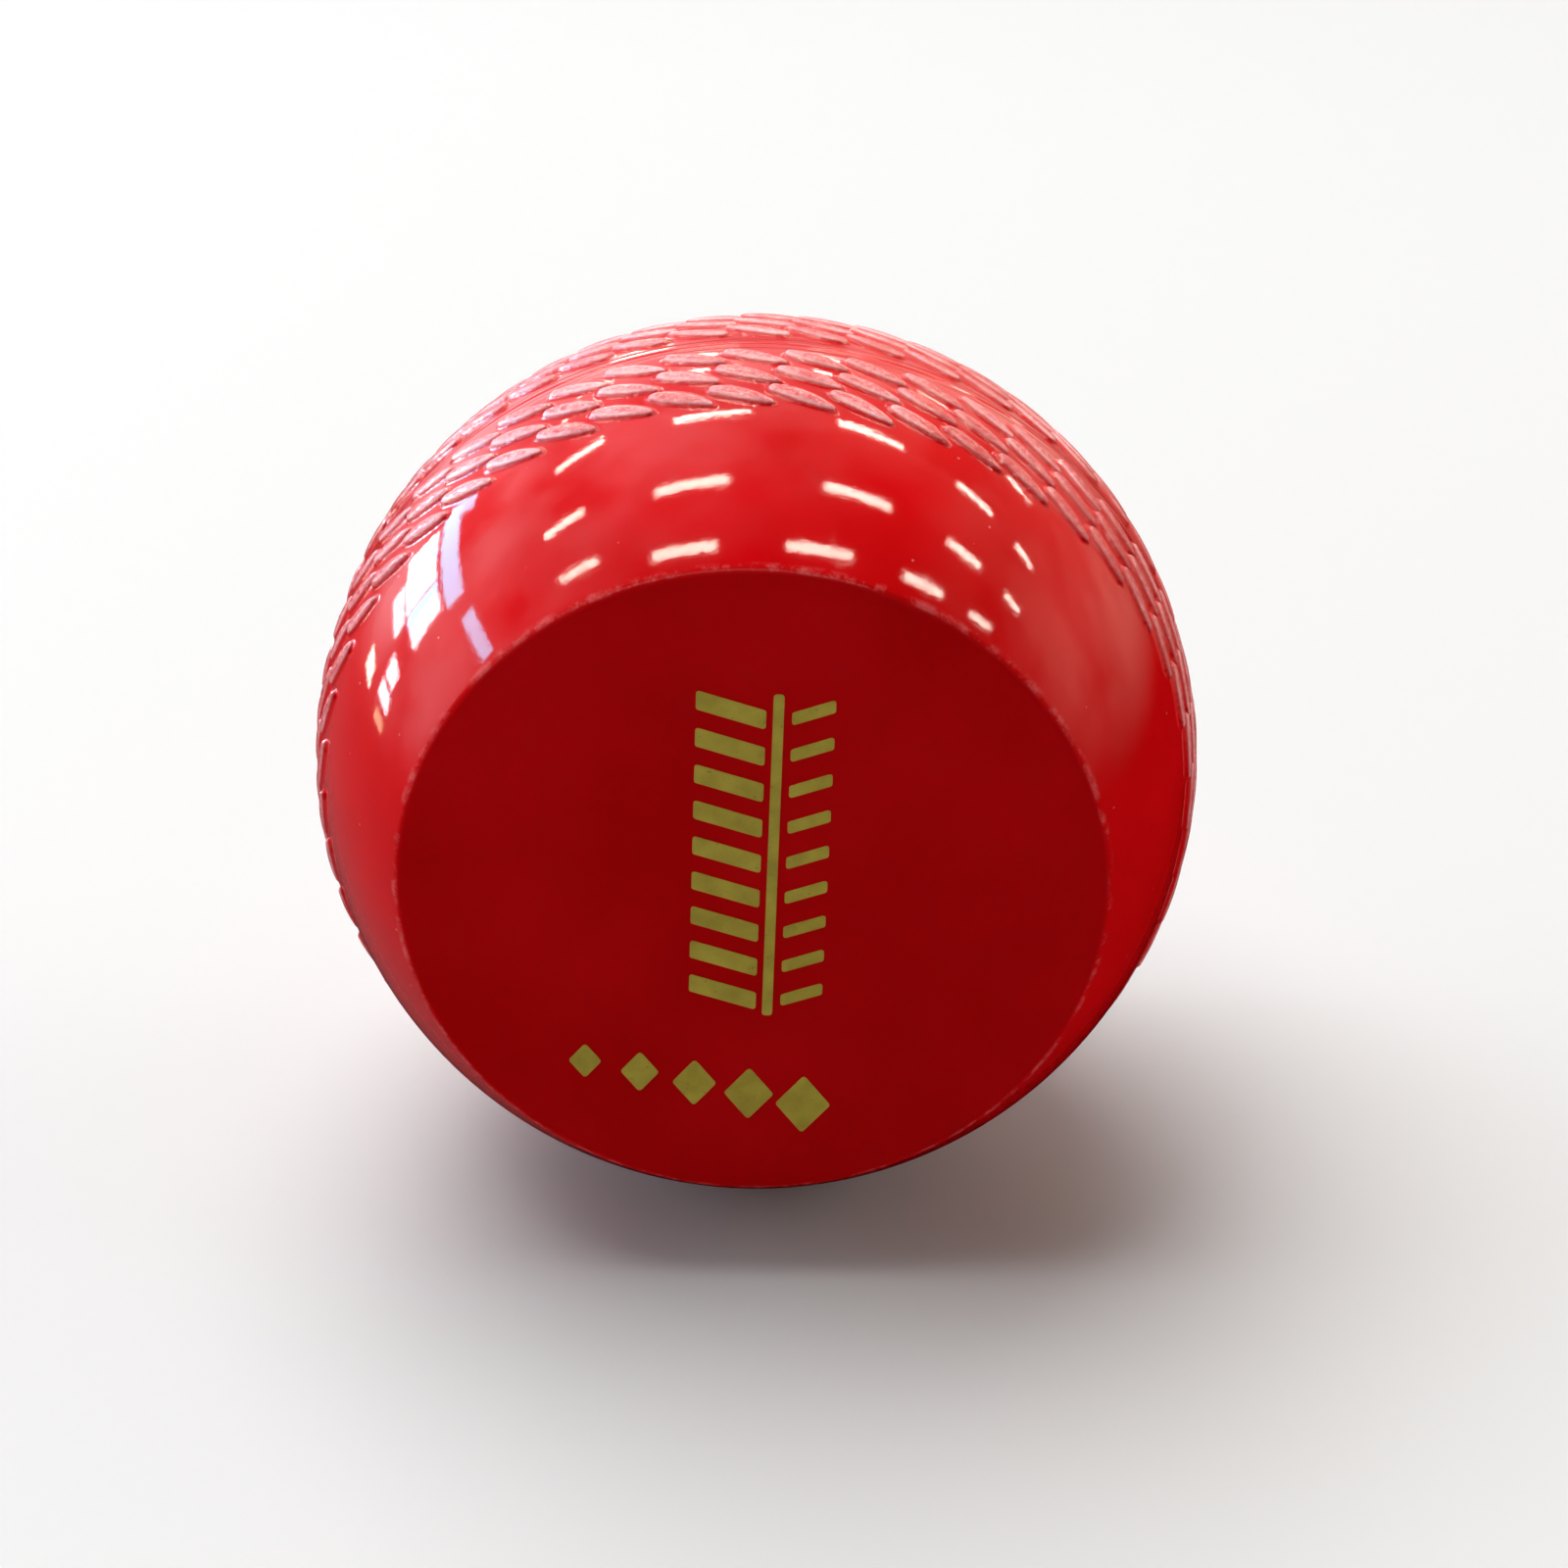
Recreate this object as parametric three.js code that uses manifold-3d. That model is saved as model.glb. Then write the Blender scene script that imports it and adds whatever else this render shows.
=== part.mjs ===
// A cricket training ball with flat sides, built as an assembly: a moulded PVC cover in two cups, welded
// together along the seam, over a core of cork and wound yarn in layers.
// Millimetres. The ball's axis is Y and its front flat faces -Y. It stands on its seam, with +Z up and the
// origin at its centre. Longitude runs round the axis, and latitude is the angle from the seam plane.
import * as THREE from "three";
import { mergeVertices } from "three/addons/utils/BufferGeometryUtils.js";
import Module from "manifold-3d";

const wasm = await Module();
wasm.setup();

// Cover
const BODY_RADIUS = 35.8; // the smooth part of the ball
const FLAT_AT = 23.5; // from the seam plane to each flat
const WALL = 3.6;
const FLAT_WALL = 3.5;
const EDGE_ROUND = 1.0; // where a flat meets the ball

// The joint between the two cups, at the seam plane
const GAP = 0.3; // between neighbouring pieces
const BEAD_HALF_WIDTH = 0.6;
const BEAD_DEPTH = 0.8;
const BEAD_RISE = 0.2; // the bead's crown above the body
const TONGUE_WIDTH = 0.8;
const TONGUE_LENGTH = 1.4;

// Moulded stitches: three rows of leaf shapes on each cup, each leaf partly sunk into the ball
const STITCHES_PER_ROW = 48;
const ROW_LATITUDES = [4.8, 9.4, 14.0]; // degrees
const ROW_LEAN = -0.8; // degrees that each row starts behind the one nearer the seam
const STITCH_LENGTH = 7.8; // with its sunken ends, about 5.2 above the surface
const STITCH_WIDTH = 2.7; // with its sunken sides, about 1.7 above the surface
const STITCH_RISE = 0.5; // crest above the body
const STITCH_SINK = 0.3; // centre below the body
const STITCH_SLANT = 22; // degrees from the seam's direction
const STITCH_OUTLINE = [[0, -0.5], [1, -0.18], [0.8, 0.16], [0, 0.5]]; // shares of half width, of length
const STITCH_SIDES = 4;

// Core, from the middle outwards
const CENTRE_RADIUS = 23.0;
const INNER_WINDING = 2.7;
const CORK_LAYER = 2.5;
const CORK_STRIPS = 6;

// Facets
const COVER_SEGMENTS = 48;
const CORNER_STEPS = 3;
const SHOULDER_STEPS = 3;
const CAVITY_STEPS = 4;
const CORE_SEGMENTS = 32;
const CORE_ARC_STEPS = 8;
const SAME_POINT = 1e-4; // corners nearer than this are one

const CAVITY_RADIUS = BODY_RADIUS - WALL;
const CAVITY_FLAT = FLAT_AT - FLAT_WALL;
const CORE_FLAT = CAVITY_FLAT - GAP;
const JOINT_FACE = GAP / 2; // each cup's rim stops this far from the seam plane

const red = (name) => new THREE.MeshStandardMaterial({ name, color: 0xc00a14, roughness: 0.2, metalness: 0 });
const redPvc = red("red_pvc");
const weldPvc = red("weld_pvc");
const corkRubber = new THREE.MeshStandardMaterial({ name: "cork_rubber", color: 0x5b3a24, roughness: 0.85 });
const cork = new THREE.MeshStandardMaterial({ name: "cork", color: 0xb07a45, roughness: 0.9 });
const yarn = new THREE.MeshStandardMaterial({ name: "worsted_yarn", color: 0xd9c9a8, roughness: 0.95 });

const point = (radius, y) => new THREE.Vector2(radius, y);

const onBall = (radius, latitude) => point(radius * Math.cos(latitude), radius * Math.sin(latitude));

/** Points on a circle about the origin, from height y0 to height y1, both ends included. */
function ballArc(radius, y0, y1, steps) {
  const from = Math.asin(y0 / radius);
  const to = Math.asin(y1 / radius);
  return Array.from({ length: steps + 1 }, (_, i) => onBall(radius, from + ((to - from) * i) / steps));
}

/** The same profile on the other side of the seam plane, still anticlockwise. */
function mirrored(profile) {
  return profile.map((p) => point(p.x, -p.y)).reverse();
}

function solid(geometry) {
  const bare = geometry.clone();
  bare.deleteAttribute("normal");
  bare.deleteAttribute("uv");
  const merged = mergeVertices(bare, SAME_POINT);
  return new wasm.Manifold(
    new wasm.Mesh({
      numProp: 3,
      vertProperties: merged.attributes.position.array,
      triVerts: new Uint32Array(merged.index.array),
    }),
  );
}

function geometryOf(manifold) {
  const { vertProperties, triVerts } = manifold.getMesh();
  const geometry = new THREE.BufferGeometry();
  geometry.setAttribute("position", new THREE.BufferAttribute(vertProperties, 3));
  geometry.setIndex(new THREE.BufferAttribute(triVerts, 1));
  geometry.computeVertexNormals();
  return geometry;
}

/** The rounded corner between the front flat and the ball, from the flat to the ball. */
function edgeRound() {
  const centreY = -FLAT_AT + EDGE_ROUND;
  const centreRadius = Math.sqrt((BODY_RADIUS - EDGE_ROUND) ** 2 - centreY ** 2);
  const end = Math.atan2(centreY, centreRadius); // where the corner meets the ball
  return Array.from({ length: CORNER_STEPS + 1 }, (_, i) => {
    const angle = -Math.PI / 2 + ((end + Math.PI / 2) * i) / CORNER_STEPS;
    return point(centreRadius + EDGE_ROUND * Math.cos(angle), centreY + EDGE_ROUND * Math.sin(angle));
  });
}

/** A cup for the front, in section. Its rim carries a tongue, or the groove that takes one. */
function cupProfile(hasTongue) {
  const corner = edgeRound();
  const beadSeat = -(BEAD_HALF_WIDTH + GAP);
  const beadFloor = BODY_RADIUS - BEAD_DEPTH - GAP;
  const halfRow = (ROW_LATITUDES[1] - ROW_LATITUDES[0]) / 2;
  const rowEdges = [...ROW_LATITUDES, ROW_LATITUDES[0] - 2 * halfRow] // facets part between the rows
    .sort((a, b) => b - a)
    .map((latitude) => THREE.MathUtils.degToRad(-latitude - halfRow));
  const tongueAt = (CAVITY_RADIUS + beadFloor) / 2;
  const half = TONGUE_WIDTH / 2 + (hasTongue ? 0 : GAP);
  const reach = hasTongue ? TONGUE_LENGTH - JOINT_FACE : -TONGUE_LENGTH - JOINT_FACE;
  const rim = [
    point(beadFloor, beadSeat),
    point(beadFloor, -JOINT_FACE),
    point(tongueAt + half, -JOINT_FACE),
    point(tongueAt + half, reach),
    point(tongueAt - half, reach),
    point(tongueAt - half, -JOINT_FACE),
  ];
  return [
    point(0, -FLAT_AT),
    ...corner,
    ...ballArc(BODY_RADIUS, corner.at(-1).y, BODY_RADIUS * Math.sin(rowEdges[0]), SHOULDER_STEPS).slice(1),
    ...rowEdges.slice(1).map((latitude) => onBall(BODY_RADIUS, latitude)),
    onBall(BODY_RADIUS, Math.asin(beadSeat / BODY_RADIUS)),
    ...rim,
    ...ballArc(CAVITY_RADIUS, -JOINT_FACE, -CAVITY_FLAT, CAVITY_STEPS),
    point(0, -CAVITY_FLAT),
  ];
}

/** One stitch at the top of the ball: a ridged leaf, blunt at -X and pointed at +X, slanting to the front. */
function leaf() {
  const half = STITCH_WIDTH / 2;
  const outline = STITCH_OUTLINE.map(([across, along]) => point(across * half, along * STITCH_LENGTH));
  const geometry = new THREE.LatheGeometry(outline, STITCH_SIDES);
  geometry.rotateZ(-Math.PI / 2);
  geometry.scale(1, 1, (STITCH_RISE + STITCH_SINK) / half);
  geometry.rotateZ(THREE.MathUtils.degToRad(-STITCH_SLANT));
  geometry.translate(0, 0, BODY_RADIUS - STITCH_SINK);
  return geometry;
}

/** The three rows of a front cup as one solid. */
function stitchRows() {
  const stitch = leaf();
  const placed = ROW_LATITUDES.flatMap((latitude, row) =>
    Array.from({ length: STITCHES_PER_ROW }, (_, i) => {
      const longitude = (360 / STITCHES_PER_ROW) * i + ROW_LEAN * row;
      const copy = stitch.clone();
      copy.rotateX(THREE.MathUtils.degToRad(latitude));
      copy.rotateY(THREE.MathUtils.degToRad(longitude));
      return solid(copy);
    }),
  );
  return placed.reduce((all, one) => all.add(one));
}

/** A layer of the core between two radii, ending square at the core's flats. */
function layer(inner, thickness) {
  const outside = ballArc(inner + thickness, -CORE_FLAT, CORE_FLAT, CORE_ARC_STEPS);
  const inside = ballArc(inner, CORE_FLAT, -CORE_FLAT, CORE_ARC_STEPS);
  return new THREE.LatheGeometry([...outside, ...inside, outside[0]], CORE_SEGMENTS);
}

/** The cork layer, parted by narrow cuts through the axis into strips, in order round the axis. */
function corkStrips(inner) {
  const across = 2 * BODY_RADIUS;
  const cuts = Array.from({ length: CORK_STRIPS / 2 }, (_, i) => {
    const cut = new THREE.BoxGeometry(across, across, GAP);
    return solid(cut.rotateY((2 * Math.PI * i) / CORK_STRIPS));
  });
  const strips = solid(layer(inner, CORK_LAYER)).subtract(cuts.reduce((all, one) => all.add(one)));
  const angle = (strip) => {
    const { min, max } = strip.boundingBox();
    return Math.atan2(min[2] + max[2], min[0] + max[0]);
  };
  return strips.decompose().sort((a, b) => angle(a) - angle(b));
}

/** The middle of the core: a ball with flat sides. */
function centreGeometry() {
  const side = ballArc(CENTRE_RADIUS, -CORE_FLAT, CORE_FLAT, CORE_ARC_STEPS);
  return new THREE.LatheGeometry([point(0, -CORE_FLAT), ...side, point(0, CORE_FLAT)], CORE_SEGMENTS);
}

/** The weld bead that fills the joint's mouth, with a slightly crowned top. */
function beadGeometry() {
  const floor = BODY_RADIUS - BEAD_DEPTH;
  const shoulder = BODY_RADIUS + BEAD_RISE / 2;
  return new THREE.LatheGeometry(
    [
      point(floor, -BEAD_HALF_WIDTH),
      point(shoulder, -BEAD_HALF_WIDTH),
      point(BODY_RADIUS + BEAD_RISE, 0),
      point(shoulder, BEAD_HALF_WIDTH),
      point(floor, BEAD_HALF_WIDTH),
      point(floor, -BEAD_HALF_WIDTH),
    ],
    COVER_SEGMENTS,
  );
}

const frontStitches = stitchRows();
const backStitches = frontStitches.rotate([0, 0, 180]); // the ball looks the same when turned end for end
const frontCup = solid(new THREE.LatheGeometry(cupProfile(true), COVER_SEGMENTS)).add(frontStitches);
const backCup = solid(new THREE.LatheGeometry(mirrored(cupProfile(false)), COVER_SEGMENTS)).add(backStitches);

const innerWindingFrom = CENTRE_RADIUS + GAP;
const corkFrom = innerWindingFrom + INNER_WINDING + GAP;
const outerWindingFrom = corkFrom + CORK_LAYER + GAP;
const outerWinding = CAVITY_RADIUS - GAP - outerWindingFrom; // fills the rest of the cover

const ball = new THREE.Group();
function add(name, geometry, material) {
  const mesh = new THREE.Mesh(geometry, material);
  mesh.name = name;
  ball.add(mesh);
}

add("front_cover", geometryOf(frontCup), redPvc);
add("back_cover", geometryOf(backCup), redPvc);
add("seam_weld_bead", beadGeometry(), weldPvc);
add("outer_winding", layer(outerWindingFrom, outerWinding), yarn);
corkStrips(corkFrom).forEach((strip, i) => add(`cork_strip_${i + 1}`, geometryOf(strip), cork));
add("inner_winding", layer(innerWindingFrom, INNER_WINDING), yarn);
add("cork_centre", centreGeometry(), corkRubber);

export default ball;
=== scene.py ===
"""A cricket training ball with flat sides, standing on its seam: its looks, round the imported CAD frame.

The ball's axis is Y, its front flat faces -Y and its seam lies in the plane y = 0. Longitude is 0 at the top
and grows round the axis. Latitude is 0 at the seam and grows towards either flat. Sizes are in millimetres,
and become metres where a mesh or light is made.
"""

import math

import bmesh
import bpy
import numpy as np
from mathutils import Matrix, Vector

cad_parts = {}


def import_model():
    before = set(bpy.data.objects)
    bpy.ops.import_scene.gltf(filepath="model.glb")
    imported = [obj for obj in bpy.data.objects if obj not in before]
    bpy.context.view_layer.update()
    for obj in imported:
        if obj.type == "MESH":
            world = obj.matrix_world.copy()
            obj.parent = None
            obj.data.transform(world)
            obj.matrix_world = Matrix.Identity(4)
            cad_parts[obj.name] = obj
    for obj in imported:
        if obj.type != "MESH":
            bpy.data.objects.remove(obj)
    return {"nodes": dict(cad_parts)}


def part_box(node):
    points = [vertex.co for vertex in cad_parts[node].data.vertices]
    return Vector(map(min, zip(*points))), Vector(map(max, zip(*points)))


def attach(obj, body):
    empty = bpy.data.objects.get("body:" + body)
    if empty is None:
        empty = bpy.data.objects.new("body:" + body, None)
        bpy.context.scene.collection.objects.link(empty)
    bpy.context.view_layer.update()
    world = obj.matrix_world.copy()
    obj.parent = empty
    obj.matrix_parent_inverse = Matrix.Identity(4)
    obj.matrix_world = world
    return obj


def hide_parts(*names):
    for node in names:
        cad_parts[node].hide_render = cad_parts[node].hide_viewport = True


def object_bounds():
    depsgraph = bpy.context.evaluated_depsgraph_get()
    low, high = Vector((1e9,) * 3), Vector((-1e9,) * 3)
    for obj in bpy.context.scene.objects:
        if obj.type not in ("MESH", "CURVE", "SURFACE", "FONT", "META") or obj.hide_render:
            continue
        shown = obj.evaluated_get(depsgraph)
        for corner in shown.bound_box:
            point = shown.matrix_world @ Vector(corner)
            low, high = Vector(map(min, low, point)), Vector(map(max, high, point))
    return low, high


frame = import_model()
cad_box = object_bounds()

MM = 0.001
FRONT, BACK = -1, 1

# Cover
BODY_RADIUS = 35.8
FLAT_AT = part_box("back_cover")[1][1] / MM
CORNER_RADIUS = 0.9
WALL = 3.6
FLAT_WALL = 3.5
BEAD_SEAT = 0.9  # half the width of the weld bead's seat
BEAD_SEAT_RADIUS = 34.7
BEAD_DEPTH = 0.8
BEAD_CROWN = 0.07
JOINT_FACE = 0.15  # from the seam plane to each cup's rim
TONGUE_AT = 33.45
TONGUE_WIDTH = 0.8
TONGUE_LENGTH = 1.4
JOINT_GAP = 0.3

# Moulded stitches
STITCHES_PER_ROW = 48
ROW_LATITUDES = (4.8, 9.4, 14.0)
ROW_LEAN = -0.8
STITCH_LENGTH = 5.8
STITCH_WIDTH = 1.7
STITCH_SLANT = 20.0
STITCH_BEND = 0.35
STITCH_HEIGHT = 0.42
SLANT_JITTER = 2.0  # degrees
LENGTH_JITTER = 0.04
HEIGHT_JITTER = 0.08
BAND_TOP = 17.4  # the latitude where the fine mesh of the stitches ends

# Fine mould lines on the centre band
BAND_LINES_AT = (1.12, 1.36, 1.62)  # from the seam
BAND_LINE_HEIGHT = 0.022
BAND_LINE_WIDTH = 0.1
BAND_EDGE = 2.0  # every line lies nearer the seam than this

# Gold print
PRINT_LEAN = 1.8  # degrees
INK_OUTSIDE = 0.05
INK_INSIDE = 0.02

# Mesh density
FINE_COLUMNS = STITCHES_PER_ROW * 24
COARSE_COLUMNS = STITCHES_PER_ROW * 4
BAND_ROW_STEP = 0.28
SHOULDER_ROWS = 24
FLAT_RINGS = (6, 12, 18, 22)


# ---------------------------------------------------------------- meshes


def ring(columns, radius, y, height=0.0, side=BACK):
    """Points of one ring round the axis, in millimetres.

    A height pushes each point away from the ball's centre. y is the distance from the seam. The front's ring
    is the back's, turned half a turn about Z.
    """
    longitude = np.arange(columns) * (2 * math.pi / columns)
    push = 1 + height / math.hypot(radius, y)
    points = np.empty((columns, 3))
    points[:, 0] = -side * radius * np.sin(longitude) * push
    points[:, 1] = side * y * push
    points[:, 2] = radius * np.cos(longitude) * push
    return points


def join_rings(a, b):
    """Faces between two rings of vertex numbers, of equal counts or one a multiple of the other."""
    if len(a) == 1 or len(b) == 1:
        tip, edge = (a[0], b) if len(a) == 1 else (b[0], a)
        return [(edge[i], edge[(i + 1) % len(edge)], tip) for i in range(len(edge))]
    if len(a) == len(b):
        n = len(a)
        return [(a[i], a[(i + 1) % n], b[(i + 1) % n], b[i]) for i in range(n)]
    fine, coarse = (a, b) if len(a) > len(b) else (b, a)
    share = len(fine) // len(coarse)
    faces = []
    for j, here in enumerate(coarse):
        after = coarse[(j + 1) % len(coarse)]
        middle = j * share + share // 2
        for k in range(j * share, (j + 1) * share):
            faces.append((fine[k], fine[(k + 1) % len(fine)], here if k < middle else after))
        faces.append((fine[middle], after, here))
    return faces


def mesh_from_rings(name, rings, closed_loop=False):
    """A closed mesh through rings of points, each ring an array of shape (n, 3) in millimetres."""
    numbers, faces, first = [], [], 0
    for points in rings:
        numbers.append(list(range(first, first + len(points))))
        first += len(points)
    pairs = list(zip(numbers, numbers[1:]))
    if closed_loop:
        pairs.append((numbers[-1], numbers[0]))
    for a, b in pairs:
        faces += join_rings(a, b)
    return mesh_object(name, np.concatenate(rings), faces)


def mesh_object(name, points_mm, faces, smooth_angle=50):
    mesh = bpy.data.meshes.new(name)
    mesh.from_pydata((np.asarray(points_mm) * MM).tolist(), [], faces)
    bm = bmesh.new()
    bm.from_mesh(mesh)
    bmesh.ops.recalc_face_normals(bm, faces=bm.faces)
    bm.to_mesh(mesh)
    bm.free()
    mesh.shade_smooth()
    mesh.set_sharp_from_angle(angle=math.radians(smooth_angle))
    piece = bpy.data.objects.new(name, mesh)
    bpy.context.scene.collection.objects.link(piece)
    return piece


# ---------------------------------------------------------------- stitches


def stitch_relief(longitude, latitude, jitter):
    """Height in millimetres of the moulded stitches at longitudes and latitudes in degrees."""
    pitch = 360 / STITCHES_PER_ROW
    relief = np.zeros_like(longitude)
    for row, row_latitude in enumerate(ROW_LATITUDES):
        start = ROW_LEAN * row
        nearest = np.round((longitude - start) / pitch).astype(int)
        for number in (nearest - 1, nearest, nearest + 1):
            which = jitter[row, number % STITCHES_PER_ROW]
            across_seam = np.radians(latitude - row_latitude) * BODY_RADIUS
            along_seam = np.radians(longitude - start - number * pitch) * BODY_RADIUS
            along_seam = along_seam * math.cos(math.radians(row_latitude))
            slant = np.radians(STITCH_SLANT + SLANT_JITTER * which[..., 0])
            along = along_seam * np.cos(slant) + across_seam * np.sin(slant)
            across = across_seam * np.cos(slant) - along_seam * np.sin(slant)
            length = STITCH_LENGTH * (1 + LENGTH_JITTER * which[..., 1])
            height = leaf(along / (length / 2), across) * (1 + HEIGHT_JITTER * which[..., 2])
            relief = np.maximum(relief, height)
    return relief * STITCH_HEIGHT


def leaf(s, across):
    """One leaf's height from 0 to 1. s runs from -1 at its blunt end to 1 at its tip; across is in mm."""
    inside = np.clip(1 - s * s, 0, None)
    outline = np.clip(1 + s, 0, None) ** 0.48 * np.clip(1 - s, 0, None) ** 0.75
    half_width = STITCH_WIDTH / 2 * outline / 1.03 + 1e-6
    middle = STITCH_BEND * (((s + 1) / 2) ** 2 - 0.35)
    t = (across - middle) / half_width
    dome = np.clip(1 - t * t, 0, None) ** 0.6
    ends = np.clip(inside * 3.2, 0, 1)
    return dome * ends * (0.82 + 0.18 * inside)


def band_lines(longitude, y, seed):
    """Fine mould lines that run round the smooth centre band, in millimetres of height."""
    rng = np.random.default_rng(seed)
    height = np.zeros_like(y)
    for at in BAND_LINES_AT:
        phase = rng.uniform(0, 2 * math.pi, 3)
        turn = np.radians(longitude)
        wander = 0.04 * np.sin(5 * turn + phase[0]) + 0.03 * np.sin(13 * turn + phase[1])
        strength = BAND_LINE_HEIGHT * (0.6 + 0.4 * np.sin(9 * turn + phase[2]))
        height += strength * np.exp(-(((y - at - wander) / BAND_LINE_WIDTH) ** 2))
    return height


# ---------------------------------------------------------------- pieces


def outer_rings(side, seed):
    """Rings of a cover's outside, from the middle of its flat to the weld bead's seat."""
    centre_y = FLAT_AT - CORNER_RADIUS
    centre_radius = math.sqrt((BODY_RADIUS - CORNER_RADIUS) ** 2 - centre_y**2)
    corner_end = math.atan2(centre_y, centre_radius)
    rings = [ring(1, 0, FLAT_AT, side=side)]
    for radius in (*FLAT_RINGS, centre_radius - 0.5):
        rings.append(ring(COARSE_COLUMNS, radius, FLAT_AT, side=side))
    for step in np.linspace(math.pi / 2, corner_end, 7):
        radius = centre_radius + CORNER_RADIUS * math.cos(step)
        y = centre_y + CORNER_RADIUS * math.sin(step)
        rings.append(ring(COARSE_COLUMNS, radius, y, side=side))
    for latitude in np.linspace(corner_end, math.radians(BAND_TOP), SHOULDER_ROWS)[1:]:
        radius, y = BODY_RADIUS * math.cos(latitude), BODY_RADIUS * math.sin(latitude)
        rings.append(ring(COARSE_COLUMNS, radius, y, side=side))

    jitter = np.random.default_rng(seed).uniform(-1, 1, (len(ROW_LATITUDES), STITCHES_PER_ROW, 3))
    longitude = np.arange(FINE_COLUMNS) * (360 / FINE_COLUMNS)
    plain_end = math.degrees(math.asin(BAND_EDGE / BODY_RADIUS))
    seat = math.degrees(math.asin(BEAD_SEAT / BODY_RADIUS))
    latitudes = np.concatenate([
        np.arange(BAND_TOP - BAND_ROW_STEP, plain_end, -BAND_ROW_STEP),
        np.linspace(plain_end, seat + 0.1, 13),
    ])
    for latitude in latitudes:
        radius = BODY_RADIUS * math.cos(math.radians(latitude))
        y = BODY_RADIUS * math.sin(math.radians(latitude))
        height = stitch_relief(longitude, np.full(FINE_COLUMNS, latitude), jitter)
        height += band_lines(longitude, np.full(FINE_COLUMNS, y), seed + 1)
        rings.append(ring(FINE_COLUMNS, radius, y, height, side))
    return rings


def inner_rings(side):
    """Rings of a cover's rim and inside, from the weld bead's seat to the middle of its flat wall."""
    cavity_radius, cavity_flat = BODY_RADIUS - WALL, FLAT_AT - FLAT_WALL
    has_tongue = side == FRONT
    half = TONGUE_WIDTH / 2 + (0 if has_tongue else JOINT_GAP)
    reach = JOINT_FACE - TONGUE_LENGTH if has_tongue else JOINT_FACE + TONGUE_LENGTH
    rim_highlight = [
        (BODY_RADIUS - 0.1, BEAD_SEAT),
        (BEAD_SEAT_RADIUS, BEAD_SEAT),
        (BEAD_SEAT_RADIUS, JOINT_FACE),
        (TONGUE_AT + half, JOINT_FACE),
        (TONGUE_AT + half, reach),
        (TONGUE_AT - half, reach),
        (TONGUE_AT - half, JOINT_FACE),
    ]
    rings = [ring(COARSE_COLUMNS, radius, y, side=side) for radius, y in rim_highlight]
    start, end = math.asin(JOINT_FACE / cavity_radius), math.asin(cavity_flat / cavity_radius)
    for latitude in np.linspace(start, end, 10):
        radius, y = cavity_radius * math.cos(latitude), cavity_radius * math.sin(latitude)
        rings.append(ring(COARSE_COLUMNS, radius, y, side=side))
    rings.append(ring(1, 0, cavity_flat, side=side))
    return rings


def cover(name, node, side, seed, material):
    piece = mesh_from_rings(name, outer_rings(side, seed) + inner_rings(side))
    piece.data.materials.append(material)
    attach(piece, "root")
    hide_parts(node)
    return piece


def weld_bead(material):
    """The raised weld line in the middle of the centre band."""
    half_width = BEAD_SEAT - 0.02
    floor = BODY_RADIUS - BEAD_DEPTH
    outline = [(floor, -half_width), (floor, half_width)]
    for share in np.linspace(1, -1, 17):
        crown = BEAD_CROWN * math.exp(-((share / 0.22) ** 2)) - 0.02 * share**8
        outline.append((BODY_RADIUS + crown, half_width * share))
    piece = mesh_from_rings(
        "weld_bead", [ring(COARSE_COLUMNS * 2, radius, y) for radius, y in outline], closed_loop=True
    )
    piece.data.materials.append(material)
    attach(piece, "root")
    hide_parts("seam_weld_bead")
    return piece


# ---------------------------------------------------------------- gold print


def rounded(corners, radius, steps=4):
    """A convex outline with its corners rounded."""
    outline = []
    for i, corner in enumerate(corners):
        corner = np.array(corner, float)
        before = np.array(corners[i - 1], float) - corner
        after = np.array(corners[(i + 1) % len(corners)], float) - corner
        before /= np.linalg.norm(before)
        after /= np.linalg.norm(after)
        half_angle = math.acos(float(np.clip(before @ after, -1, 1))) / 2
        start = corner + before * radius / math.tan(half_angle)
        end = corner + after * radius / math.tan(half_angle)
        for t in np.linspace(0, 1, steps + 1):
            outline.append((1 - t) ** 2 * start + 2 * t * (1 - t) * corner + t * t * end)
    return outline


def dash(x, z, width, height, rise):
    """A slanting dash: a parallelogram with its right end raised."""
    return [
        (x - width / 2, z - height / 2 - rise / 2),
        (x + width / 2, z - height / 2 + rise / 2),
        (x + width / 2, z + height / 2 + rise / 2),
        (x - width / 2, z + height / 2 - rise / 2),
    ]


def print_outlines():
    """A plain seam motif: a line with slanting dashes on both sides, over a row of diamonds."""
    outlines = []
    for z in np.linspace(-8.6, 15.8, 9):
        outlines.append(rounded(dash(-2.0, z, 5.2, 1.55, -1.5), 0.25))
        outlines.append(rounded(dash(4.1, z, 3.2, 1.05, 1.2), 0.25))
    outlines.append(rounded([(1.1, -10.6), (1.9, -10.6), (1.9, 17.2), (1.1, 17.2)], 0.3))
    for step in range(5):
        x, z, half = -12.6 + 4.3 * step, -15.4 - 0.85 * step, 1.3 + 0.22 * step
        tall = half * 1.25
        outlines.append(rounded([(x - half, z), (x, z - tall), (x + half, z), (x, z + tall)], 0.3))
    return outlines


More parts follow.
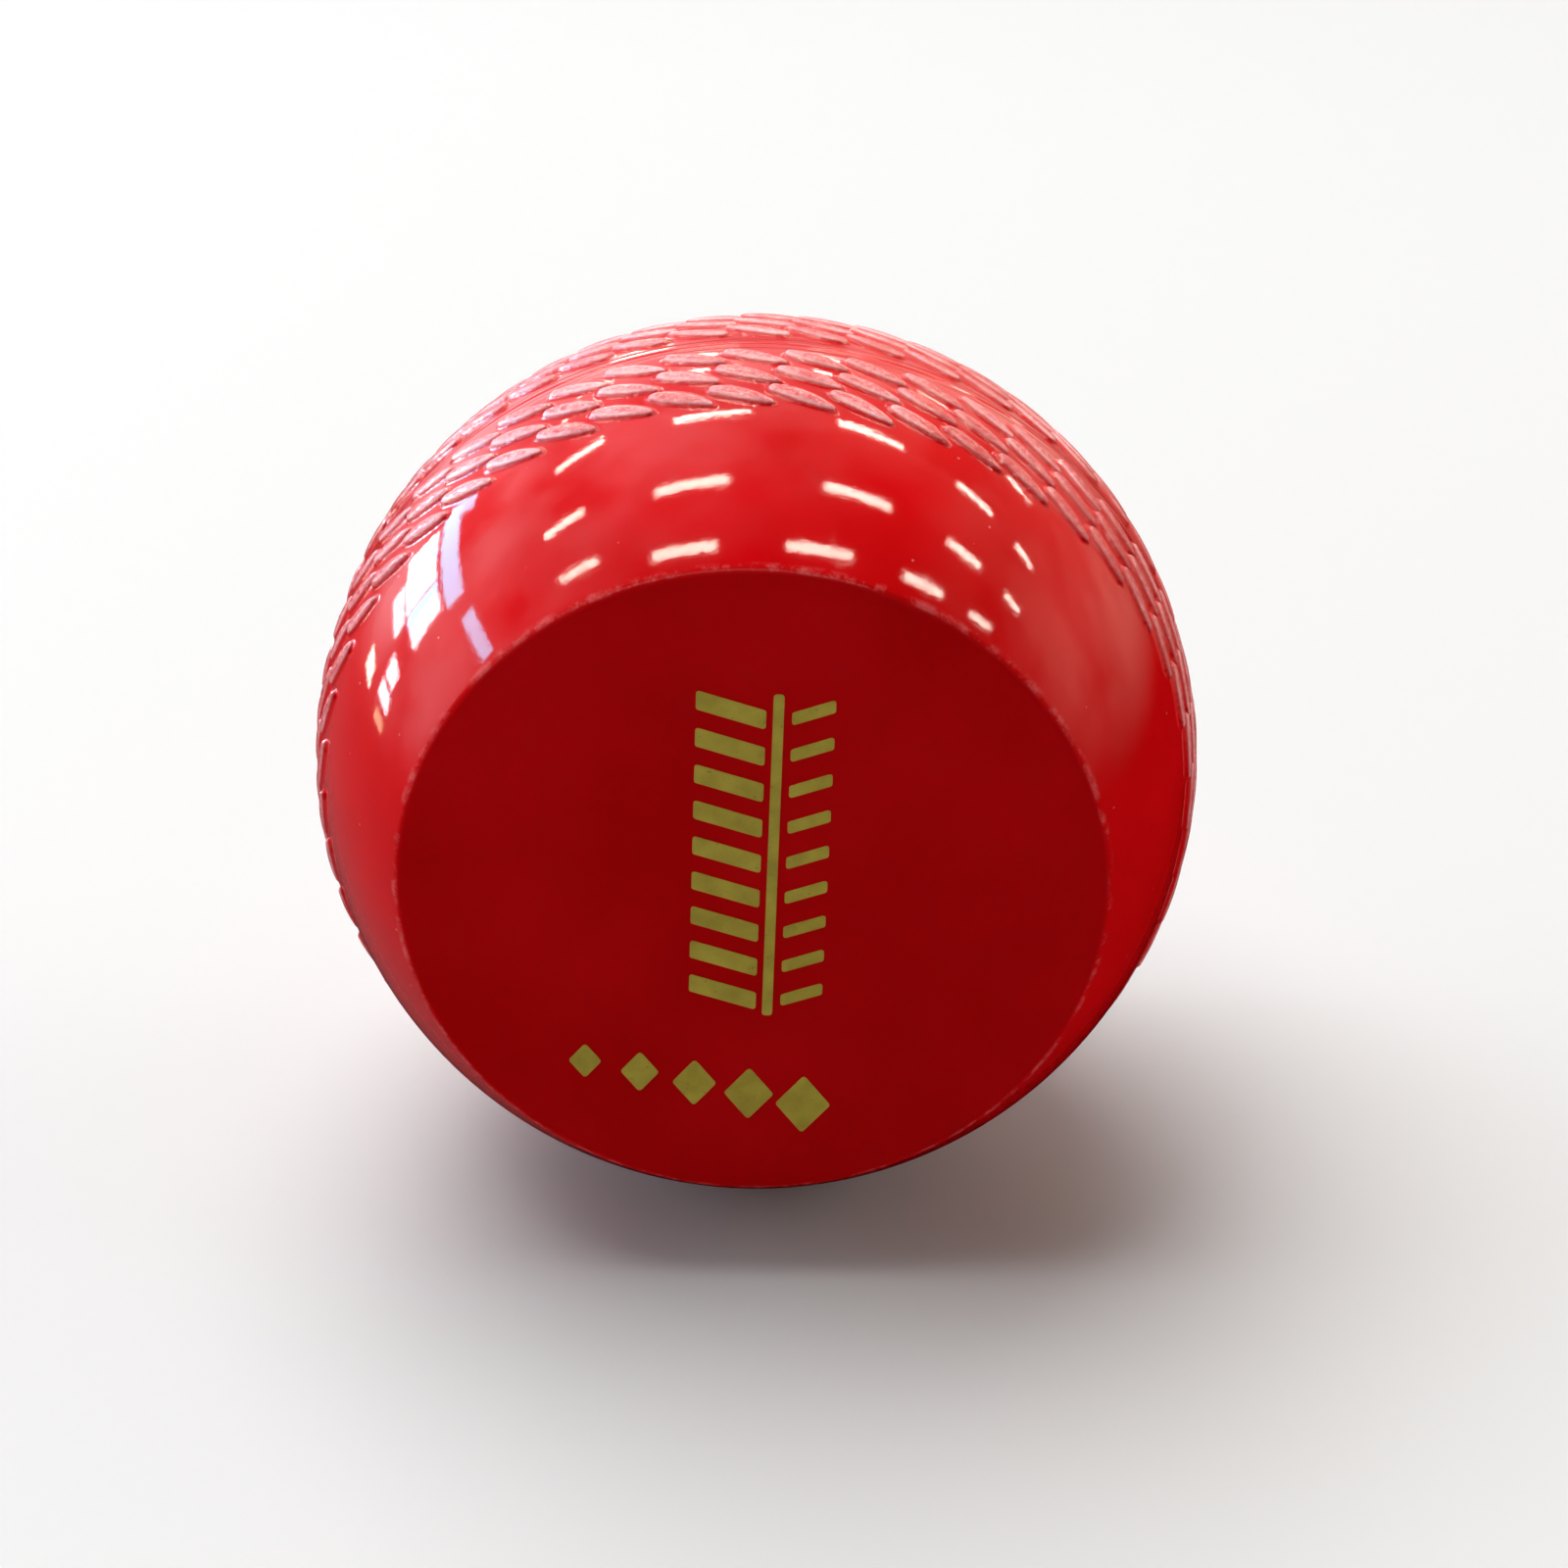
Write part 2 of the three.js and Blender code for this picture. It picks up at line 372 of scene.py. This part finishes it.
def gold_print(material):
    """The print on the front flat, as thin raised ink."""
    lean = math.radians(PRINT_LEAN)
    bottom, pad_highlight = -FLAT_AT + INK_INSIDE, -FLAT_AT - INK_OUTSIDE
    points, faces = [], []
    for outline in print_outlines():
        first, n = len(points), len(outline)
        for y in (bottom, pad_highlight):
            for x, z in outline:
                across = x * math.cos(lean) + z * math.sin(lean)
                points.append((across, y, z * math.cos(lean) - x * math.sin(lean)))
        faces.append(tuple(range(first, first + n)))
        faces.append(tuple(range(first + n, first + 2 * n)))
        for i in range(n):
            after = (i + 1) % n
            faces.append((first + i, first + after, first + n + after, first + n + i))
    piece = mesh_object("gold_print", points, faces, smooth_angle=30)
    piece.data.materials.append(material)
    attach(piece, "root")
    return piece


# ---------------------------------------------------------------- materials


class Nodes:
    """A short way to build a material's node tree. Coordinates come out in millimetres."""

    def __init__(self, name):
        self.material = bpy.data.materials.new(name)
        self.material.use_nodes = True
        self.tree = self.material.node_tree
        self.shader = self.tree.nodes["Principled BSDF"]
        place = self.add("ShaderNodeTexCoord")
        scale = self.add("ShaderNodeVectorMath", operation="SCALE")
        scale.inputs["Scale"].default_value = 1 / MM
        self.link(place.outputs["Object"], scale.inputs[0])
        self.place = scale.outputs[0]

    def from_middle(self):
        """Distance from the ball's middle, in millimetres."""
        node = self.add("ShaderNodeVectorMath", operation="LENGTH")
        self.link(self.place, node.inputs[0])
        return node.outputs["Value"]

    def along(self, axis):
        """The position along X, Y or Z, in millimetres."""
        node = self.add("ShaderNodeSeparateXYZ")
        self.link(self.place, node.inputs[0])
        return node.outputs[axis]

    def add(self, kind, **settings):
        node = self.tree.nodes.new(kind)
        for key, value in settings.items():
            setattr(node, key, value)
        return node

    def link(self, a, b):
        self.tree.links.new(a, b)

    def noise(self, size, detail=3.0, roughness=0.5, stretch=None):
        """Noise whose features are about that many millimetres across."""
        node = self.add("ShaderNodeTexNoise")
        node.inputs["Scale"].default_value = 1 / size
        node.inputs["Detail"].default_value = detail
        node.inputs["Roughness"].default_value = roughness
        place = self.place
        if stretch:
            mapping = self.add("ShaderNodeMapping")
            mapping.inputs["Scale"].default_value = stretch
            self.link(place, mapping.inputs["Vector"])
            place = mapping.outputs["Vector"]
        self.link(place, node.inputs["Vector"])
        return node.outputs["Fac"]

    def spots(self, size):
        """Distance to the nearest of points about that many millimetres apart, and its random colour."""
        node = self.add("ShaderNodeTexVoronoi")
        node.inputs["Scale"].default_value = 1 / size
        self.link(self.place, node.inputs["Vector"])
        return node.outputs["Distance"], node.outputs["Color"]

    def remap(self, value, low, high, to_low=0.0, to_high=1.0):
        node = self.add("ShaderNodeMapRange")
        limits = {"From Min": low, "From Max": high, "To Min": to_low, "To Max": to_high}
        for socket, number in limits.items():
            node.inputs[socket].default_value = number
        self.link(value, node.inputs["Value"])
        return node.outputs["Result"]

    def math(self, operation, a, b):
        node = self.add("ShaderNodeMath", operation=operation)
        for socket, value in zip(node.inputs, (a, b)):
            if isinstance(value, (int, float)):
                socket.default_value = value
            else:
                self.link(value, socket)
        return node.outputs[0]

    def mix(self, factor, a, b):
        """Mixes two colours."""
        node = self.add("ShaderNodeMix", data_type="RGBA")
        self.link(factor, node.inputs["Factor"])
        for socket, value in zip((node.inputs[6], node.inputs[7]), (a, b)):
            if isinstance(value, tuple):
                socket.default_value = (*value, 1)
            else:
                self.link(value, socket)
        return node.outputs[2]

    def bump(self, height, distance, normal=None):
        node = self.add("ShaderNodeBump")
        node.inputs["Distance"].default_value = distance * MM
        node.inputs["Strength"].default_value = 1.0
        self.link(height, node.inputs["Height"])
        if normal:
            self.link(normal, node.inputs["Normal"])
        return node.outputs["Normal"]

    def finish(self, **sockets):
        for name, value in sockets.items():
            socket = self.shader.inputs[name.replace("_", " ")]
            if isinstance(value, (int, float)):
                socket.default_value = value
            else:
                self.link(value, socket)
        return self.material


def red_pvc(name):
    """Glossy moulded red with dust on it. The stitches carry a painted pale highlight, and the edge of the
    flat a patchy painted highlight that is partly rubbed wear.
    """
    deep, bright = (0.47, 0.001, 0.002), (0.54, 0.002, 0.004)
    n = Nodes(name)
    colour = n.mix(n.remap(n.noise(14, detail=4), 0.35, 0.65), deep, bright)

    raised = n.math("SUBTRACT", n.from_middle(), BODY_RADIUS)
    stitch = n.remap(raised, 0.05, 0.12)
    pad = n.remap(raised, 0.17, 0.3)
    # Painted highlight on the stitches: the tops of their pads are painted pale pink and their rims paler
    # still, in place of reflected room light, stronger in some patches than in others.
    rim_highlight = n.math("MULTIPLY", pad, n.remap(raised, 0.4, 0.3))
    grain = n.remap(n.noise(0.42, detail=5, roughness=0.7), 0.46, 0.62)
    highlight_patches = n.remap(n.noise(11, detail=4, roughness=0.65), 0.4, 0.6, 0.2, 1)
    pad_highlight = n.math("MULTIPLY", pad, n.remap(grain, 0, 1, 0.15, 0.7))
    colour = n.mix(n.math("MULTIPLY", pad_highlight, highlight_patches), colour, (0.98, 0.33, 0.35))
    colour = n.mix(n.math("MULTIPLY", n.math("MULTIPLY", rim_highlight, 0.55), highlight_patches), colour, (1.0, 0.56, 0.58))

    # Patchy pale band round the edge of the flat: partly a painted highlight where the rounded edge catches
    # light, partly rubbed wear.
    outward = n.math("ABSOLUTE", n.along("Y"), 0)
    edge = n.math("MULTIPLY", n.remap(outward, 22.9, 23.2), n.remap(outward, 23.45, 23.38))
    edge_highlight_and_rub = n.math("MULTIPLY", edge, n.remap(n.noise(2.6, detail=6, roughness=0.75), 0.48, 0.66, 0, 0.3))
    colour = n.mix(edge_highlight_and_rub, colour, (0.84, 0.30, 0.30))

    distance, chance = n.spots(1.7)
    dust = n.math("MULTIPLY", n.remap(distance, 0.08, 0.03), n.remap(chance, 0.62, 0.66, 0, 0.3))
    colour = n.mix(dust, colour, (0.85, 0.50, 0.48))

    scuff = n.remap(n.noise(2.2, detail=6, roughness=0.7, stretch=(1, 0.35, 1)), 0.56, 0.74)
    swirls = n.noise(0.9, detail=4, roughness=0.6, stretch=(0.2, 2.4, 0.2))
    roughness = n.math("ADD", n.remap(scuff, 0, 1, 0.05, 0.12), n.math("MULTIPLY", dust, 0.4))
    roughness = n.math("ADD", roughness, n.math("MULTIPLY", stitch, 0.08))
    normal = n.bump(n.noise(9, detail=2), 0.015)
    normal = n.bump(n.noise(0.5, detail=3), 0.004, normal=normal)
    normal = n.bump(swirls, 0.0015, normal=normal)
    normal = n.bump(n.math("MULTIPLY", grain, stitch), 0.02, normal=normal)
    shine = n.remap(stitch, 0, 1, 0.36, 0.9)
    return n.finish(Base_Color=colour, Roughness=roughness, Normal=normal, Specular_IOR_Level=shine)


def gold_ink():
    """Dull olive-gold ink with pinholes where the red shows through."""
    n = Nodes("gold_ink")
    tone = n.mix(n.remap(n.noise(1.6, detail=5), 0.3, 0.7), (0.44, 0.33, 0.016), (0.58, 0.46, 0.035))
    pinholes = n.remap(n.noise(0.35, detail=4, roughness=0.75), 0.64, 0.70)
    colour = n.mix(pinholes, tone, (0.30, 0.04, 0.01))
    roughness = n.remap(n.noise(0.6, detail=4), 0.3, 0.7, 0.38, 0.55)
    normal = n.bump(n.noise(0.3, detail=4), 0.02)
    return n.finish(Base_Color=colour, Roughness=roughness, Normal=normal, Metallic=0.1)


def yarn(name):
    """Undyed worsted wool, wound round and round in fine strands."""
    n = Nodes(name)
    wave = n.add("ShaderNodeTexWave", bands_direction="Y", wave_profile="SIN")
    wave.inputs["Scale"].default_value = 0.35
    wave.inputs["Distortion"].default_value = 1.2
    wave.inputs["Detail"].default_value = 3
    n.link(n.place, wave.inputs["Vector"])
    fibres = n.noise(0.5, detail=5, stretch=(0.5, 3, 0.5))
    colour = n.mix(n.math("MULTIPLY", wave.outputs["Fac"], fibres), (0.42, 0.33, 0.20), (0.80, 0.72, 0.55))
    normal = n.bump(wave.outputs["Fac"], 0.5)
    normal = n.bump(fibres, 0.15, normal=normal)
    roughness = n.remap(fibres, 0.3, 0.7, 0.8, 0.98)
    return n.finish(Base_Color=colour, Roughness=roughness, Normal=normal)


def cork(name, light, dark, grain):
    """Cork granules with darker pores between them."""
    n = Nodes(name)
    distance, chance = n.spots(grain)
    granules = n.mix(chance, dark, light)
    pores = n.remap(distance, 0.45, 0.75)
    colour = n.mix(pores, granules, tuple(c * 0.35 for c in dark))
    normal = n.bump(distance, -0.3)
    normal = n.bump(n.noise(grain / 5, detail=4), 0.1, normal=normal)
    roughness = n.remap(n.noise(grain / 2), 0.3, 0.7, 0.75, 0.95)
    return n.finish(Base_Color=colour, Roughness=roughness, Normal=normal)


def dress(nodes, material):
    """Gives carried-over CAD nodes their finished material."""
    for node in nodes:
        slots = frame["nodes"][node].data.materials
        slots.clear()
        slots.append(material)


# ---------------------------------------------------------------- studio


def floor():
    """A wide pale floor under the ball."""
    level = cad_box[0][2] / MM
    half = 2500
    line = np.linspace(-half, half, 9)
    points = [(x, y, level) for y in line for x in line]
    faces = [
        (r * 9 + c, r * 9 + c + 1, (r + 1) * 9 + c + 1, (r + 1) * 9 + c) for r in range(8) for c in range(8)
    ]
    ground = mesh_object("floor", points, faces)
    n = Nodes("pale_floor")
    near = n.mix(n.noise(400, detail=2), (0.47, 0.47, 0.47), (0.49, 0.49, 0.49))
    # Paler far away, where the lights reach less
    colour = n.mix(n.remap(n.from_middle(), 500, 1600), near, (0.9, 0.9, 0.9))
    ground.data.materials.append(n.finish(Base_Color=colour, Roughness=0.85))
    ground.visible_glossy = False  # the glossy cover mirrors no pale floor


def world():
    """Soft uneven light from all round: bright and cool behind to the left, dim and warm to the right."""
    studio = bpy.data.worlds.new("studio")
    studio.use_nodes = True
    tree = studio.node_tree
    direction = tree.nodes.new("ShaderNodeTexCoord").outputs["Generated"]

    def put(value, socket):
        if isinstance(value, (int, float)):
            socket.default_value = value
        else:
            tree.links.new(value, socket)

    def glow(towards, start, end, peak):
        """Light that grows from nothing to its peak as the direction turns towards one way."""
        dot = tree.nodes.new("ShaderNodeVectorMath")
        dot.operation = "DOT_PRODUCT"
        dot.inputs[1].default_value = Vector(towards).normalized()
        tree.links.new(direction, dot.inputs[0])
        level = tree.nodes.new("ShaderNodeMapRange")
        level.interpolation_type = "SMOOTHSTEP"
        for socket, number in (("From Min", start), ("From Max", end), ("To Max", peak)):
            level.inputs[socket].default_value = number
        tree.links.new(dot.outputs["Value"], level.inputs["Value"])
        return level.outputs["Result"]

    def join(operation, a, b):
        node = tree.nodes.new("ShaderNodeMath")
        node.operation = operation
        put(a, node.inputs[0])
        put(b, node.inputs[1])
        return node.outputs[0]

    uneven = tree.nodes.new("ShaderNodeTexNoise")
    uneven.inputs["Scale"].default_value = 2.6
    uneven.inputs["Detail"].default_value = 4
    tree.links.new(direction, uneven.inputs["Vector"])
    patches = tree.nodes.new("ShaderNodeMapRange")
    for socket, number in (("From Min", 0.36), ("From Max", 0.64), ("To Min", 0.3), ("To Max", 1.7)):
        patches.inputs[socket].default_value = number
    tree.links.new(uneven.outputs["Fac"], patches.inputs["Value"])
    room = join("ADD", glow((-0.55, 0.80, 0.24), 0.0, 0.95, 1.25), glow((0.85, 0.42, 0.24), 0.62, 1.0, 0.6))
    room = join("MULTIPLY", join("ADD", room, 0.05), patches.outputs["Result"])
    room = join("MULTIPLY", room, glow((0, 0, 1), -0.22, 0.12, 1.0))
    room = join("ADD", room, glow((-0.85, 0.35, -0.35), 0.55, 0.95, 0.16))

    tint = tree.nodes.new("ShaderNodeMix")
    tint.data_type = "RGBA"
    tree.links.new(glow((1, 0, 0), -0.5, 0.8, 1.0), tint.inputs["Factor"])
    tint.inputs[6].default_value = (0.88, 0.93, 1.0, 1)
    tint.inputs[7].default_value = (1.0, 0.86, 0.66, 1)
    background = tree.nodes["Background"]
    tree.links.new(tint.outputs[2], background.inputs["Color"])
    tree.links.new(room, background.inputs["Strength"])
    # A pale backdrop beyond the floor, seen but giving no light
    backdrop = tree.nodes.new("ShaderNodeBackground")
    backdrop.inputs["Color"].default_value = (0.84, 0.84, 0.84, 1)
    seen = tree.nodes.new("ShaderNodeLightPath").outputs["Is Camera Ray"]
    choice = tree.nodes.new("ShaderNodeMixShader")
    tree.links.new(seen, choice.inputs["Fac"])
    tree.links.new(background.outputs[0], choice.inputs[1])
    tree.links.new(backdrop.outputs[0], choice.inputs[2])
    tree.links.new(choice.outputs[0], tree.nodes["World Output"].inputs["Surface"])
    bpy.context.scene.world = studio


def softbox(name, place, size, radiance, colour=(1, 1, 1), mirrored=True, lights=True, faces=None):
    """A rectangular soft light, place and size in millimetres, facing the ball or the way it is told.

    One that is not mirrored leaves no reflection, and one that does not light is only seen reflected.
    """
    data = bpy.data.lights.new(name, "AREA")
    data.shape = "RECTANGLE"
    data.size, data.size_y = size[0] * MM, size[1] * MM
    data.energy = radiance * math.pi * data.size * data.size_y
    data.color = colour
    lamp = bpy.data.objects.new(name, data)
    bpy.context.scene.collection.objects.link(lamp)
    lamp.location = [v * MM for v in place]
    aim(lamp, [-v for v in faces] if faces else place)
    lamp.visible_camera = False
    lamp.visible_glossy = mirrored
    lamp.visible_diffuse = lights


def aim(thing, place):
    """Turns a lamp or camera, whose own -Z looks out, from a place towards the origin."""
    thing.rotation_euler = Vector([-v for v in place]).to_track_quat("-Z", "Y").to_euler()


def lights():
    """A soft key and fills that leave no reflection; strips and window panes that are only reflected."""
    ceiling, pale, cool, lilac = 1200, (1.0, 0.93, 0.78), (0.84, 0.92, 1.0), (0.05, 0.66, 1.0)
    softbox("key", (-350, 330, 1400), (1500, 1200), 6.6, mirrored=False)
    softbox("left_fill", (-1300, 250, 250), (900, 700), 4.2, (1.0, 0.96, 1.0), mirrored=False)
    softbox("right_fill", (1300, 200, 350), (900, 800), 4.0, (1.0, 0.97, 0.93), mirrored=False)
    rows = ((2400, -1000, 700), (1720, -980, 700), (790, -905, 706), (210, -1040, 750), (-200, -1010, 660))
    for row, (y, first, step) in enumerate(rows):
        for column in range(5):
            place = (first + step * column, y + (110 if column == 0 else 0), ceiling)
            softbox(f"strip_{row}_{column}", place, (335, 62), 30, pale, lights=False, faces=(0, 0, -1))
    softbox("far_strip", (-1050, 5100, ceiling), (500, 400), 14, pale, lights=False)

    wall = -1100
    panes = (  # along Y from and to, height from and to, radiance, colour
        (360, 470, 172, 368, 22, cool),
        (470, 555, 172, 368, 26, lilac),
        (572, 720, 172, 368, 24, cool),
        (720, 800, 172, 368, 26, lilac),
        (800, 930, 172, 368, 20, cool),
        (560, 800, 84, 160, 15, cool),
        (320, 1050, 396, 504, 18, lilac),
        (900, 1130, 504, 590, 14, lilac),
        (-110, 195, 452, 530, 18, lilac),
        (385, 505, -6, 70, 18, cool),
        (640, 790, -140, -66, 12, pale),
        (375, 515, -78, -24, 18, cool),
        (385, 500, -150, -112, 6, (1.0, 0.84, 0.5)),
    )
    for number, (y0, y1, z0, z1, radiance, colour) in enumerate(panes):
        place, size = (wall, (y0 + y1) / 2, (z0 + z1) / 2), (y1 - y0, z1 - z0)
        softbox(f"pane_{number}", place, size, radiance, colour, lights=False, faces=(1, 0, 0))
    softbox("front_panel", (-250, -900, 760), (1500, 420), 0.7, (1.0, 0.90, 0.82), lights=False)


def camera():
    """Looks down at the front flat, with the ball a little up and left of the picture's middle."""
    data = bpy.data.cameras.new("camera")
    data.sensor_width = 36
    data.lens = 66.3
    data.shift_x = 0.0175
    data.shift_y = -0.0197
    data.clip_end = 20
    eye = bpy.data.objects.new("camera", data)
    bpy.context.scene.collection.objects.link(eye)
    azimuth, elevation, distance = math.radians(0.9), math.radians(27.6), 240.0
    place = (
        distance * math.sin(azimuth) * math.cos(elevation),
        -distance * math.cos(azimuth) * math.cos(elevation),
        distance * math.sin(elevation),
    )
    eye.location = [v * MM for v in place]
    aim(eye, place)
    bpy.context.scene.camera = eye


# ---------------------------------------------------------------- the scene

camera()
floor()
world()
lights()
bpy.context.scene.view_settings.view_transform = "Standard"

pvc = red_pvc("red_pvc")
cover("front_cover_moulding", "front_cover", FRONT, 11, pvc)
cover("back_cover_moulding", "back_cover", BACK, 12, pvc)
weld_bead(red_pvc("weld_pvc"))
gold_print(gold_ink())

dress(["outer_winding", "inner_winding"], yarn("worsted_yarn"))
dress([f"cork_strip_{i}" for i in range(1, 7)], cork("cork", (0.62, 0.38, 0.18), (0.36, 0.19, 0.08), 2.2))
dress(["cork_centre"], cork("cork_rubber", (0.34, 0.18, 0.08), (0.07, 0.035, 0.02), 1.5))
